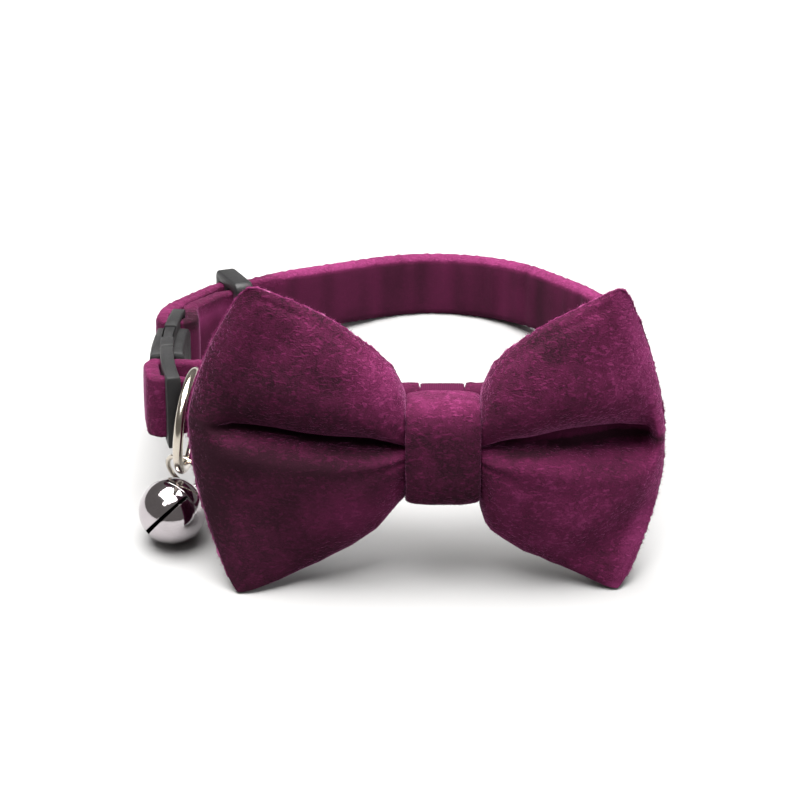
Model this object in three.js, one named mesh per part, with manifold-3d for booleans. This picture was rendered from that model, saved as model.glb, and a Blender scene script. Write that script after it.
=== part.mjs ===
import * as THREE from 'three';
import { mergeVertices } from 'three/addons/utils/BufferGeometryUtils.js';
import Module from 'manifold-3d';

const wasm = await Module();
wasm.setup();

// Pet collar with a pillow bow. Millimetres, +Z up.
// The collar frame has X to the wearer's left, Y towards the back of the neck loop and Z across the strap,
// with the strap's mid height at Z 0. The whole collar then leans back onto the surface that it stands on.
const clearance = 0.3;
const floorTrim = 0.45;

const strapTall = 12.8;
const foldTall = 11.5;
const slotTall = 10.4;
const strapThick = 3.8;
const foldThick = 2.4;

const buckleArc = { x: 72.3, y: 19.4, radius: 116.7, turnDeg: 183.07 };
const plateHalf = 1.3;
const plateTall = 14;
const slotHigh = 12.2;

const sliderPlace = { x: -33.6, y: 51.2, turnDeg: -66.8 };
const sliderPlate = { long: 12.4, tall: 16.4, thick: 3.8, corner: 1.6, edge: 0.4, slotWide: 3.3, slotOff: 2.65 };

const ringPlace = { x: -38.9, y: -5.5, z: -2, turnDeg: 8, leanDeg: 6 };
const ringRadius = 9.05;
const ringWire = 0.95;

const bellRadius = 6.25;
const bellWall = 0.5;
const bellPlace = { x: -42.2, y: -12.6 };
const bellSlot = { wide: 0.85, holeRadius: 0.8, reachDeg: 88 };
const bellSwing = { headingDeg: 236.7, slotTurnDeg: 52 };
const eyeRadius = 1.5;
const eyeWire = 0.45;
const jumpWire = 0.45;
const pelletRadius = 1.7;

const bowPlace = { x: 7.7, y: -18.75 };
const bowWall = 1.5;
const seamHalf = 1.3;
const seamAllowance = 3.5;
const foldShoulder = 0.42;
const leastHollow = 0.4;
// The wings are turned out and filled through a slit in the back of the pinch, under the band.
const turnSlit = { wide: 5, deep: 8, tall: 8, from: 1.2 };
const knot = { wide: 14, halfTall: 10.2, halfDeep: 6.25, wall: 2, edge: 0.8 };
const keeper = { wide: 8, wall: 0.65, corner: 1.6 };
const gathered = strapTall - 2 * (clearance + keeper.wall);

const velvet = { color: 0x74204f, roughness: 0.95, metalness: 0 };
const plastic = { color: 0x1c1c1e, roughness: 0.5, metalness: 0 };
const nickel = { color: 0xc8c2b8, roughness: 0.22, metalness: 1 };
const chrome = { color: 0xd6d6da, roughness: 0.1, metalness: 1 };
const elastic = { color: 0x2a1420, roughness: 0.9, metalness: 0 };

// Plan of the strap's middle line, in the order in which it is threaded.
// bend is the radius of the turn at that point, thick and tall are the padding there.
const sliderPoint = (across, along) => {
  const turn = THREE.MathUtils.degToRad(sliderPlace.turnDeg);
  const x = sliderPlace.x + across * Math.cos(turn) - along * Math.sin(turn);
  const y = sliderPlace.y + across * Math.sin(turn) + along * Math.cos(turn);
  return { x, y };
};
const strapRun = [
  { at: 'sewn end', ...sliderPoint(7.6, -2.6), bend: 0, thick: 2.2, tall: slotTall },
  { at: 'turn at slider', ...sliderPoint(7.6, 3.5), bend: 2, thick: 2.2, tall: slotTall },
  { at: 'inner slot of slider', ...sliderPoint(2.65, 3.5), bend: 2, thick: foldThick, tall: slotTall },
  { at: 'off the slider', ...sliderPoint(2.65, -4.2), bend: 4, thick: foldThick, tall: slotTall },
  { at: 'inner layer', x: -40.2, y: 37, bend: 12, thick: 3, tall: foldTall },
  { at: 'rear slot, inside', x: -40.2, y: 29.5, bend: 2.2, thick: foldThick, tall: slotTall },
  { at: 'rear slot, outside', x: -47.1, y: 29.5, bend: 2.2, thick: foldThick, tall: slotTall },
  { at: 'outer layer', x: -46.6, y: 37, bend: 16, thick: 3.2, tall: foldTall },
  { at: 'outer slot of slider', ...sliderPoint(-2.65, -3.2), bend: 3, thick: foldThick, tall: slotTall },
  { at: 'past the slider', ...sliderPoint(-2.65, 3.6), bend: 12, thick: foldThick, tall: slotTall },
  { at: 'left of the nape', x: -21, y: 61, bend: 60, thick: strapThick, tall: strapTall },
  { at: 'nape', x: 15.5, y: 79.5, bend: 28, thick: strapThick, tall: strapTall },
  { at: 'right side', x: 43.3, y: 41.2, bend: 45, thick: strapThick, tall: strapTall },
  { at: 'right front', x: 43.3, y: -9, bend: 25, thick: strapThick, tall: strapTall },
  { at: 'before the keeper', x: 14.1, y: -9, bend: 0, thick: strapThick, tall: strapTall },
  { at: 'into the keeper', x: 12.1, y: -9, bend: 0, thick: strapThick, tall: gathered },
  { at: 'out of the keeper', x: 3.3, y: -9, bend: 0, thick: strapThick, tall: gathered },
  { at: 'after the keeper', x: 1.3, y: -9, bend: 0, thick: strapThick, tall: strapTall },
  { at: 'behind the left wing', x: -27, y: -9, bend: 25, thick: strapThick, tall: strapTall },
  { at: 'front slot, inside', x: -39, y: -2.5, bend: 4, thick: foldThick, tall: slotTall },
  { at: 'front slot, outside', x: -45.3, y: -3.8, bend: 1.8, thick: 2.8, tall: foldTall },
  { at: 'over the middle bar', x: -46.8, y: 5.85, bend: 1.8, thick: 2.8, tall: foldTall },
  { at: 'tail', x: -35, y: 7.2, bend: 6, thick: foldThick, tall: slotTall },
  { at: 'tail on the run', x: -22, y: -5.2, bend: 12, thick: 2.8, tall: foldTall },
  { at: 'tail end', x: -12, y: -5.2, bend: 0, thick: 2.6, tall: foldTall },
];

// Sections of a bow wing, from the pinch to the outer edge of the wing.
// reach: distance from the knot's middle along the fold; half: half the wing's height there;
// front, back: how far the padding stands out; crease: depth of the front fold;
// lean, edgeLean: how far the fold line and the seams lie towards the neck; lift: rise of the fold line.
const wingSections = [
  { reach: 0, half: 7.4, front: 3.5, back: 3.5, crease: 1.2, lean: 0, edgeLean: 0, lift: 0 },
  { reach: 7.3, half: 7.4, front: 3.5, back: 3.5, crease: 1.4, lean: 0, edgeLean: 0, lift: 0.4 },
  { reach: 8, half: 10.6, front: 4.6, back: 3.6, crease: 2.6, lean: 0, edgeLean: -0.2, lift: 1 },
  { reach: 9.6, half: 13, front: 5.8, back: 3.4, crease: 4.4, lean: 0.1, edgeLean: -0.5, lift: 1.6 },
  { reach: 13, half: 15.7, front: 7.4, back: 3.4, crease: 6.4, lean: 0.3, edgeLean: -0.8, lift: 2.2 },
  { reach: 18.5, half: 19, front: 8.5, back: 3.6, crease: 7.6, lean: 0.6, edgeLean: -1.2, lift: 2.4 },
  { reach: 26, half: 22.7, front: 8.4, back: 3.8, crease: 7.6, lean: 1.4, edgeLean: -1.5, lift: 2.6 },
  { reach: 34, half: 25.7, front: 6.6, back: 3.2, crease: 5.4, lean: 2.4, edgeLean: -1.6, lift: 2.8 },
  { reach: 40.5, half: 27.7, front: 3.8, back: 2.2, crease: 2, lean: 3.2, edgeLean: -1.6, lift: 2.9 },
  { reach: 44, half: 28.6, front: seamHalf, back: seamHalf, crease: 0, lean: 3.4, edgeLean: -1.6, lift: 3 },
];
// How far the pinch and its band sit below the strap's middle.
const pinchDrop = 2.3;
// Outer edge of each wing: distance of the fold's end and of the two corners from the knot's middle.
const wingEnds = [
  { side: -1, fold: 45.2, top: 32, bottom: 37.6 },
  { side: 1, fold: 40.2, top: 31.2, bottom: 31.6 },
];

// The collar rests on the lower corners of the bow and on the strap's lower edge at the nape.
const tip = wingSections.at(-1);
const bowLow = { y: bowPlace.y + tip.edgeLean, z: -tip.half };
const napeLow = { y: 71.8, z: -strapTall / 2 };
const tilt = Math.atan2(napeLow.z - bowLow.z, napeLow.y - bowLow.y);
const floorHeight = napeLow.z * Math.cos(tilt) - napeLow.y * Math.sin(tilt);
const frontRunY = strapRun.find((row) => row.at === 'right front').y;

function solidOf(geometry) {
  const bare = geometry.clone();
  bare.deleteAttribute('normal');
  bare.deleteAttribute('uv');
  const merged = mergeVertices(bare, 1e-4);
  const vertProperties = new Float32Array(merged.attributes.position.array);
  const triVerts = new Uint32Array(merged.index.array);
  return new wasm.Manifold(new wasm.Mesh({ numProp: 3, vertProperties, triVerts }));
}

function geometryOf(solid) {
  const mesh = solid.getMesh();
  const geometry = new THREE.BufferGeometry();
  geometry.setAttribute('position', new THREE.BufferAttribute(mesh.vertProperties.slice(), 3));
  geometry.setIndex(new THREE.BufferAttribute(mesh.triVerts.slice(), 1));
  geometry.computeVertexNormals();
  return geometry;
}

function cut(body, ...tools) {
  let solid = solidOf(body);
  for (const tool of tools) solid = solid.subtract(solidOf(tool));
  return geometryOf(solid);
}

function join(body, ...others) {
  let solid = solidOf(body);
  for (const other of others) solid = solid.add(solidOf(other));
  return geometryOf(solid);
}

// Skin over a row of rings with equal counts. A ring runs down one side and up the other,
// so its two ends are closed by rungs between opposite points.
function loft(rings) {
  const count = rings[0].length;
  const positions = rings.flat().flatMap((point) => [point.x, point.y, point.z]);
  const index = [];
  for (let ring = 0; ring < rings.length - 1; ring += 1) {
    for (let i = 0; i < count; i += 1) {
      const a = ring * count + i;
      const b = ring * count + ((i + 1) % count);
      index.push(a, b, a + count, b, b + count, a + count);
    }
  }
  const last = (rings.length - 1) * count;
  for (let i = 0; i < count / 2 - 1; i += 1) {
    const mate = count - 1 - i;
    index.push(i, mate, i + 1, i + 1, mate, mate - 1);
    index.push(last + i, last + i + 1, last + mate, last + i + 1, last + mate - 1, last + mate);
  }
  const geometry = new THREE.BufferGeometry();
  geometry.setAttribute('position', new THREE.Float32BufferAttribute(positions, 3));
  geometry.setIndex(signedVolume(positions, index) < 0 ? index.reverse() : index);
  geometry.computeVertexNormals();
  return geometry;
}

function signedVolume(positions, index) {
  const corner = (i) => new THREE.Vector3().fromArray(positions, 3 * index[i]);
  let volume = 0;
  for (let i = 0; i < index.length; i += 3) volume += corner(i).cross(corner(i + 1)).dot(corner(i + 2));
  return volume;
}

function mesh(name, geometry, finish) {
  const piece = new THREE.Mesh(geometry, new THREE.MeshStandardMaterial(finish));
  piece.name = name;
  return piece;
}

// The surface that the collar stands on, as a block in the collar frame, with the trim that flattens cloth.
function floorBlock(height) {
  const block = new THREE.BoxGeometry(300, 300, 40);
  block.translate(0, 0, height - 20);
  block.rotateX(tilt);
  return block;
}

// Walks the strap's plan: straight stretches with a round turn at each row, sampled with the padding there.
function walkStrap(rows) {
  const stepDeg = 18;
  const longest = 9;
  const turns = rows.map((row, i) => {
    const here = new THREE.Vector2(row.x, row.y);
    if (row.bend === 0) return { enter: here, leave: here, row };
    const before = new THREE.Vector2(rows[i - 1].x, rows[i - 1].y).sub(here).normalize();
    const after = new THREE.Vector2(rows[i + 1].x, rows[i + 1].y).sub(here).normalize();
    const inside = Math.acos(THREE.MathUtils.clamp(before.dot(after), -1, 1));
    const setback = row.bend / Math.tan(inside / 2);
    const toCentre = before.clone().add(after).normalize().multiplyScalar(row.bend / Math.sin(inside / 2));
    return {
      enter: here.clone().addScaledVector(before, setback),
      leave: here.clone().addScaledVector(after, setback),
      centre: here.clone().add(toCentre),
      sweep: Math.sign(after.cross(before)) * (Math.PI - inside),
      row,
    };
  });
  const stations = [];
  const mix = (a, b, t) => ({
    thick: THREE.MathUtils.lerp(a.thick, b.thick, t),
    tall: THREE.MathUtils.lerp(a.tall, b.tall, t),
  });
  turns.forEach((turn, i) => {
    if (turn.centre) {
      const steps = Math.max(2, Math.ceil(Math.abs(turn.sweep) / THREE.MathUtils.degToRad(stepDeg)));
      for (let k = 0; k <= steps; k += 1) {
        const place = turn.enter.clone().rotateAround(turn.centre, (turn.sweep * k) / steps);
        const outward = place.clone().sub(turn.centre).normalize();
        if (turn.sweep > 0) outward.negate();
        stations.push({ place, left: outward, ...mix(turn.row, turn.row, 0) });
      }
    }
    const next = turns[i + 1];
    if (!next) return;
    const stretch = next.enter.clone().sub(turn.leave);
    const left = new THREE.Vector2(-stretch.y, stretch.x).normalize();
    const pieces = Math.max(1, Math.ceil(stretch.length() / longest));
    const first = turn.centre ? 1 : 0;
    const past = i + 2 < turns.length ? pieces - 1 : pieces;
    for (let k = first; k <= past; k += 1) {
      const place = turn.leave.clone().addScaledVector(stretch, k / pieces);
      stations.push({ place, left, ...mix(turn.row, next.row, k / pieces) });
    }
  });
  return stations;
}

// Padded strap section with round edges, down one face and up the other.
function strapRing({ place, left, thick, tall }) {
  const edge = thick / 2;
  const angles = [75, 42, 12, -12, -42, -75];
  const side = (sign) => angles.map((deg) => {
    const angle = THREE.MathUtils.degToRad(deg);
    const across = sign * edge * Math.cos(angle);
    const up = Math.sign(deg) * (tall / 2 - edge) + edge * Math.sin(angle);
    return new THREE.Vector3(place.x + left.x * across, place.y + left.y * across, up);
  });
  return [...side(1), ...side(-1).reverse()];
}

function collarStrap() {
  const strap = loft(walkStrap(strapRun).map(strapRing));
  return mesh('collar_strap', cut(strap, floorBlock(floorHeight + floorTrim)), velvet);
}

// Block bent round the buckle's arc: from and to run along the arc from its middle, towards the nape.
function arcBlock(from, to, inner, outer, low, high, round = 0) {
  const { radius } = buckleArc;
  const shape = new THREE.Shape();
  shape.absarc(0, 0, radius + outer, -to / radius, -from / radius, false);
  shape.absarc(0, 0, radius + inner, -from / radius, -to / radius, true);
  shape.closePath();
  const bevel = { bevelEnabled: round > 0, bevelThickness: round, bevelSize: round, bevelOffset: -round };
  const depth = high - low - 2 * round;
  const block = new THREE.ExtrudeGeometry(shape, { depth, curveSegments: 4, bevelSegments: 2, ...bevel });
  block.translate(0, 0, low + round);
  return block;
}

// Places along the arc are measured from the buckle's middle, towards the nape.
const plateReach = plateTall / 2;
const plateRound = 0.5;
const seam = -2;
const frontEnd = -20.5;
const rearEnd = 20.5;
const throughPlate = 6;
const maleSlots = [{ from: -18.1, to: -14.8 }, { from: -8.7, to: -5.3 }];
const arm = { level: 3.1, halfHigh: 0.8, halfDeep: 1, to: 10.6 };
const pad = { from: 3.4, to: 9.4, low: 2.4, halfDeep: 0.9, shy: 0.2 };
const housing = { to: 14, halfDeep: 3.3, halfHigh: 5.4, round: 1.2 };
const housingSlot = { from: 14.6, to: 18.1 };
const cavity = { to: 11.4, halfDeep: 1.6, halfHigh: 4.4 };
const padWindow = { spare: 0.4, halfDeep: 1.2 };

function slotBlock({ from, to }) {
  return arcBlock(from, to, -throughPlate, throughPlate, -slotHigh / 2, slotHigh / 2);
}

function buckleMale() {
  const plate = arcBlock(frontEnd, seam, -plateHalf, plateHalf, -plateReach, plateReach, plateRound);
  const arms = [];
  for (const sign of [-1, 1]) {
    const [low, high] = [arm.level * sign - arm.halfHigh, arm.level * sign + arm.halfHigh];
    arms.push(arcBlock(seam - 1, arm.to, -arm.halfDeep, arm.halfDeep, low, high));
    const padEnds = [pad.low * sign, (plateReach - pad.shy) * sign].sort((a, b) => a - b);
    arms.push(arcBlock(pad.from, pad.to, -pad.halfDeep, pad.halfDeep, ...padEnds));
  }
  const geometry = join(cut(plate, ...maleSlots.map(slotBlock)), ...arms);
  return mesh('buckle_male', geometry, plastic);
}

function buckleFemale() {
  const front = seam + clearance;
  const { halfDeep, halfHigh, round } = housing;
  const plate = arcBlock(front, rearEnd, -plateHalf, plateHalf, -plateReach, plateReach, plateRound);
  const body = arcBlock(front, housing.to, -halfDeep, halfDeep, -halfHigh, halfHigh, round);
  const { halfDeep: inDeep, halfHigh: inHigh } = cavity;
  const hollow = arcBlock(seam - 1, cavity.to, -inDeep, inDeep, -inHigh, inHigh);
  const [from, to] = [pad.from - padWindow.spare, pad.to + padWindow.spare];
  const open = arcBlock(from, to, -padWindow.halfDeep, padWindow.halfDeep, -plateReach - 1, plateReach + 1);
  const geometry = cut(join(plate, body), slotBlock(housingSlot), hollow, open);
  return mesh('buckle_female', geometry, plastic);
}

function buckle() {
  const group = new THREE.Group();
  group.position.set(buckleArc.x, buckleArc.y, 0);
  group.rotation.z = THREE.MathUtils.degToRad(buckleArc.turnDeg);
  group.add(buckleMale(), buckleFemale());
  return group;
}

function roundedRectangle(shape, halfWide, halfTall, corner) {
  shape.moveTo(halfWide, -halfTall + corner);
  shape.absarc(halfWide - corner, halfTall - corner, corner, 0, Math.PI / 2);
  shape.absarc(-halfWide + corner, halfTall - corner, corner, Math.PI / 2, Math.PI);
  shape.absarc(-halfWide + corner, -halfTall + corner, corner, Math.PI, 1.5 * Math.PI);
  shape.absarc(halfWide - corner, -halfTall + corner, corner, 1.5 * Math.PI, 2 * Math.PI);
  shape.closePath();
  return shape;
}

function slider() {
  const { long, tall, thick, slotWide, slotOff, corner, edge } = sliderPlate;
  const outline = roundedRectangle(new THREE.Shape(), long / 2, tall / 2, corner);
  const plate = new THREE.ExtrudeGeometry(outline, {
    depth: thick - 2 * edge,
    curveSegments: 3,
    bevelSegments: 2,
    bevelSize: edge,
    bevelThickness: edge,
    bevelOffset: -edge,
  });
  plate.translate(0, 0, edge - thick / 2);
  const slots = [-slotOff, slotOff].map((off) => {
    const slot = new THREE.BoxGeometry(slotWide, slotHigh, 2 * thick);
    slot.translate(off, 0, 0);
    return slot;
  });
  const geometry = cut(plate, ...slots);
  geometry.rotateX(Math.PI / 2);
  const piece = mesh('slider', geometry, plastic);
  piece.position.set(sliderPlace.x, sliderPlace.y, 0);
  piece.rotation.z = THREE.MathUtils.degToRad(sliderPlace.turnDeg);
  return piece;
}

// A torus stands in its own XY plane, so it is turned upright along the loop's Y first.
function strapRingPiece() {
  const geometry = new THREE.TorusGeometry(ringRadius, ringWire, 10, 32);
  geometry.rotateY(Math.PI / 2);
  const piece = mesh('ring', geometry, nickel);
  piece.position.set(ringPlace.x, ringPlace.y, ringPlace.z);
  piece.rotation.order = 'ZYX';
  piece.rotation.z = THREE.MathUtils.degToRad(-ringPlace.turnDeg);
  piece.rotation.y = THREE.MathUtils.degToRad(ringPlace.leanDeg);
  return piece;
}

// Straight fill between the rows of the wing table, for any distance from the knot.
function sectionAt(reach) {
  const next = wingSections.findIndex((row) => row.reach >= reach);
  const b = wingSections[Math.max(next, 1)];
  const a = wingSections[Math.max(next, 1) - 1];
  const t = (reach - a.reach) / (b.reach - a.reach);
  const section = {};
  for (const key of Object.keys(a)) section[key] = a[key] + (b[key] - a[key]) * t;
  return section;
}

// One closed ring of the bow: down the front from the upper seam to the lower one, and up the back.
// inset is zero on the outside of the cloth and the wall's thickness on its inside.
function bowRing(section, end, points, inset) {
  const start = knot.wide / 2;
  const inFromSeam = inset > 0 ? seamAllowance : 0;
  const front = [];
  const back = [];
  for (let i = 0; i <= points; i += 1) {
    const across = Math.cos((Math.PI * i) / points);
    const level = Math.sign(across) * Math.abs(across) ** 1.5 * (1 - inFromSeam / section.half);
    const rise = Math.abs(level);
    const corner = level > 0 ? end.top : end.bottom;
    const edge = corner + (end.fold - corner) * (1 - rise ** 1.8);
    const out = section.reach <= start
      ? section.reach
      : start + ((section.reach - start) * (edge - start)) / (tip.reach - start);
    const pillow = Math.max(0, 1 - rise ** 2.4) ** 0.6;
    const shoulder = Math.max(0, 1 - rise / foldShoulder);
    const fold = section.crease * (1 - Math.sqrt(1 - shoulder ** 2));
    const low = section.lift * (1 - rise ** 2) - pinchDrop * (1 - rise * (section.reach / tip.reach));
    const middle = section.lean + (section.edgeLean - section.lean) * rise ** 2;
    let ahead = seamHalf + (section.front - seamHalf) * pillow - fold - inset;
    let behind = seamHalf + (section.back - seamHalf) * pillow - inset;
    if (ahead + behind < leastHollow) {
      const centre = (ahead - behind) / 2;
      ahead = centre + leastHollow / 2;
      behind = leastHollow / 2 - centre;
    }
    front.push(new THREE.Vector3(end.side * out, middle - ahead, level * section.half + low));
    back.push(new THREE.Vector3(end.side * out, middle + behind, level * section.half + low));
  }
  return [...front, ...back.reverse()];
}

function bowSkin(stations, points, inset) {
  const [leftEnd, rightEnd] = wingEnds;
  const ringsOf = (end, list) => list.map((reach) => bowRing(sectionAt(reach), end, points, inset));
  return loft([...ringsOf(leftEnd, [...stations].reverse()), ...ringsOf(rightEnd, stations.slice(1))]);
}

function bow() {
  const between = (a, b, parts) => Array.from({ length: parts }, (_, k) => a + ((b - a) * (k + 1)) / parts);
  const pinch = wingSections.slice(0, 4).map((row) => row.reach);
  const rim = wingSections.at(-2).reach;
  const outer = [...pinch, ...between(pinch.at(-1), rim, 10), tip.reach];
  const inner = [...pinch, ...between(pinch.at(-1), rim - 1, 6)];
  const slit = new THREE.BoxGeometry(turnSlit.wide, turnSlit.deep, turnSlit.tall);
  slit.translate(0, turnSlit.from + turnSlit.deep / 2, -pinchDrop);
  const floor = floorBlock(floorHeight + floorTrim);
  floor.translate(-bowPlace.x, -bowPlace.y, 0);
  const geometry = cut(bowSkin(outer, 20, 0), bowSkin(inner, 12, bowWall), slit, floor);
  return mesh('bow', geometry, velvet);
}

// Band with a softly squared outline, round the bow's pinch.
function bandOutline(target, halfDeep, halfTall, points) {
  for (let i = 0; i < points; i += 1) {
    const angle = (2 * Math.PI * i) / points;
    const soften = (value) => Math.sign(value) * Math.abs(value) ** 0.5;
    const place = [halfDeep * soften(Math.cos(angle)), halfTall * soften(Math.sin(angle))];
    if (i === 0) target.moveTo(...place);
    else target.lineTo(...place);
  }
  target.closePath();
  return target;
}

function bowKnot() {
  const { wide, halfTall, halfDeep, wall, edge } = knot;
  const outline = bandOutline(new THREE.Shape(), halfDeep, halfTall, 32);
  const settings = { depth: wide - 2 * edge, bevelSegments: 3, bevelThickness: edge, bevelSize: edge };
  const body = new THREE.ExtrudeGeometry(outline, { ...settings, bevelOffset: -edge });
  body.translate(0, 0, edge - wide / 2);
  const hole = bandOutline(new THREE.Shape(), halfDeep - wall, halfTall - wall, 28);
  const core = new THREE.ExtrudeGeometry(hole, { depth: 2 * wide, bevelEnabled: false });
  core.translate(0, 0, -wide);
  const geometry = cut(body, core);
  geometry.rotateX(Math.PI / 2);
  geometry.rotateZ(Math.PI / 2);
  return mesh('bow_knot', geometry, velvet);
}

function bowKeeper() {
  const innerDeep = strapThick / 2 + clearance;
  const innerTall = gathered / 2 + clearance;
  const { wide, wall, corner } = keeper;
  const outline = roundedRectangle(new THREE.Shape(), innerDeep + wall, innerTall + wall, corner);
  outline.holes.push(roundedRectangle(new THREE.Path(), innerDeep, innerTall, corner - wall));
  const geometry = new THREE.ExtrudeGeometry(outline, { depth: wide, curveSegments: 3, bevelEnabled: false });
  geometry.translate(0, 0, -wide / 2);
  geometry.rotateX(Math.PI / 2);
  geometry.rotateZ(Math.PI / 2);
  return mesh('bow_keeper', geometry, elastic);
}

function bowTie() {
  const group = new THREE.Group();
  group.position.set(bowPlace.x, bowPlace.y, 0);
  const loop = bowKeeper();
  loop.position.y = frontRunY - bowPlace.y;
  const band = bowKnot();
  band.position.z = -pinchDrop;
  group.add(bow(), band, loop);
  return group;
}

// Bell in its own frame: its axis is X, with the slot across the near end and an upright wire eye at the far.
function bellShell() {
  const inside = bellRadius - bellWall;
  const ball = new THREE.SphereGeometry(bellRadius, 24, 14);
  const hollow = new THREE.SphereGeometry(inside, 16, 10);
  const reach = THREE.MathUtils.degToRad(bellSlot.reachDeg);
  const endX = bellRadius * Math.cos(reach);
  const endY = bellRadius * Math.sin(reach);
  const slot = new THREE.BoxGeometry(2 * bellRadius, 2 * endY, bellSlot.wide);
  slot.translate(endX + bellRadius, 0, 0);
  const holes = [-1, 1].map((sign) => {
    const hole = new THREE.CylinderGeometry(bellSlot.holeRadius, bellSlot.holeRadius, 4 * bellWall, 10);
    hole.translate(endX, sign * endY, 0);
    return hole;
  });
  const tools = [slot, ...holes];
  for (const tool of tools) tool.rotateX(THREE.MathUtils.degToRad(bellSwing.slotTurnDeg));
  const eye = new THREE.TorusGeometry(eyeRadius, eyeWire, 6, 14);
  eye.rotateX(Math.PI / 2);
  eye.translate(-eyeOff, 0, 0);
  return mesh('bell_shell', cut(join(ball, eye), hollow, ...tools), chrome);
}

const eyeOff = bellRadius + eyeRadius - eyeWire / 2;
const bellCentre = new THREE.Vector3(bellPlace.x, bellPlace.y, floorHeight + floorTrim + bellRadius);
const bellHeading = THREE.MathUtils.degToRad(bellSwing.headingDeg);
const bellAxis = new THREE.Vector3(Math.cos(bellHeading), Math.sin(bellHeading), 0);

function bell() {
  const group = new THREE.Group();
  group.position.copy(bellCentre);
  group.rotation.z = bellHeading;
  const pellet = mesh('bell_pellet', new THREE.SphereGeometry(pelletRadius, 12, 8), nickel);
  pellet.position.z = -(bellRadius - bellWall - pelletRadius - 2 * clearance);
  group.add(bellShell(), pellet);
  return group;
}

// The jump ring goes through the bell's eye, square to it, and round the lowest point of the strap ring.
function jumpRing(ringLow) {
  const eyeCentre = bellCentre.clone().addScaledVector(bellAxis, -eyeOff);
  const along = ringLow.clone().sub(eyeCentre);
  const radius = (along.length() + ringWire + jumpWire + 3 * clearance) / 2;
  along.normalize();
  const throughEye = new THREE.Vector3(-bellAxis.y, bellAxis.x, 0);
  const normal = throughEye.cross(along).normalize();
  const piece = mesh('jump_ring', new THREE.TorusGeometry(radius, jumpWire, 6, 24), nickel);
  piece.position.copy(eyeCentre).addScaledVector(along, radius);
  const standing = new THREE.Matrix4().makeBasis(along, normal.clone().cross(along), normal);
  piece.quaternion.setFromRotationMatrix(standing);
  return piece;
}

const leaning = new THREE.Group();
leaning.rotation.x = -tilt;
const ring = strapRingPiece();
leaning.add(collarStrap(), buckle(), slider(), ring, bowTie());
leaning.updateMatrixWorld(true);
const ringLow = new THREE.Vector3(0, 0, -ringRadius).applyMatrix4(ring.matrixWorld);

const collar = new THREE.Group();
collar.add(leaning, bell(), jumpRing(ringLow));
collar.updateMatrixWorld(true);
const box = new THREE.Box3().setFromObject(collar, true);
const middle = box.getCenter(new THREE.Vector3());
const whole = new THREE.Group();
collar.position.set(-middle.x, -middle.y, -box.min.z);
whole.add(collar);

export default whole;
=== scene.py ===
import bpy
import math
import numpy as np
from mathutils import Matrix, Vector, Quaternion


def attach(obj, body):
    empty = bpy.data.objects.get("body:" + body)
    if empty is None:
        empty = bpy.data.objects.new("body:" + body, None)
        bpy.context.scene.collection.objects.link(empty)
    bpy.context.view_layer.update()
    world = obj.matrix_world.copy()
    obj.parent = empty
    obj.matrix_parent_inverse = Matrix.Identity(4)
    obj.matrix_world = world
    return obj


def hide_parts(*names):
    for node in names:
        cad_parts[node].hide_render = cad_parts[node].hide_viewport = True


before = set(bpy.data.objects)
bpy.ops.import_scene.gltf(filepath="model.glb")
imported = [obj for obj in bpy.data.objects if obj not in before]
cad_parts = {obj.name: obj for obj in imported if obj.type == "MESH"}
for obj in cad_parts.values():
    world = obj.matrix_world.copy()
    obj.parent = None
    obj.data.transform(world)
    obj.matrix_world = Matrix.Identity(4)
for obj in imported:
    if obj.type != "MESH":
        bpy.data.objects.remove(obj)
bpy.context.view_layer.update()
mm = 0.001
floorGap = 0.00002

# The loop's own frame, in millimetres: X right, Y to the nape, Z across the strap.
# The loop leans back until it rests on the floor.
collar = {"origin": (0.26178, -22.16287, 22.58833), "leanDeg": 13.545107}


def collarMatrix():
    lean = Matrix.Rotation(math.radians(-collar["leanDeg"]), 4, "X")
    return Matrix.Translation(Vector(collar["origin"]) * mm) @ lean @ Matrix.Scale(mm, 4)


def inFrame(points):
    turn = np.array(collarMatrix())
    points = np.asarray(points, float)
    return points @ turn[:3, :3].T + turn[:3, 3]


def aboveFloor(points):
    # from the loop's own frame into the part's, with nothing below the floor
    shape = inFrame(points)
    shape[:, 2] = np.maximum(shape[:, 2], floorGap)
    return shape


def ownPlace(obj):
    # the piece's points in the loop's own frame, in millimetres
    spot = np.zeros(len(obj.data.vertices) * 3)
    obj.data.vertices.foreach_get("co", spot)
    back = np.array(collarMatrix().inverted())
    return spot.reshape(-1, 3) @ back[:3, :3].T + back[:3, 3]


def smoothStep(low, high, value):
    t = np.clip((value - low) / (high - low), 0, 1)
    return t * t * (3 - 2 * t)


def hump(value, middle, wide):
    return np.exp(-((value - middle) / wide) ** 2)


def blunt(value, power):
    # keeps the sign; a power below one turns a circle into a rounded box
    return np.sign(value) * np.abs(value) ** power


def unit(vectors):
    return vectors / np.linalg.norm(vectors, axis=-1, keepdims=True)


def turned(vector, angle):
    x, y = vector
    return np.array([x * math.cos(angle) - y * math.sin(angle), x * math.sin(angle) + y * math.cos(angle)])


def softWindow(count):
    window = np.hanning(count)
    return window / window.sum()


def distances(path):
    return np.concatenate([[0], np.cumsum(np.linalg.norm(np.diff(path, axis=0), axis=1))])


noiseLook = {"waves": 9, "rates": (0.6, 1.5), "divide": 4.2}


def softNoise(points, size, seed):
    # a few crossed waves, smooth and the same on every run
    rng = np.random.default_rng(seed)
    total = np.zeros(points.shape[:-1])
    for _ in range(noiseLook["waves"]):
        way = unit(rng.normal(size=3)) * rng.uniform(*noiseLook["rates"]) * 2 * math.pi / size
        total += np.sin(points @ way + rng.uniform(0, 2 * math.pi))
    return total / noiseLook["divide"]


def deselectAll():
    if bpy.context.object and bpy.context.object.mode != "OBJECT":
        bpy.ops.object.mode_set(mode="OBJECT")
    bpy.ops.object.select_all(action="DESELECT")


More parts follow.
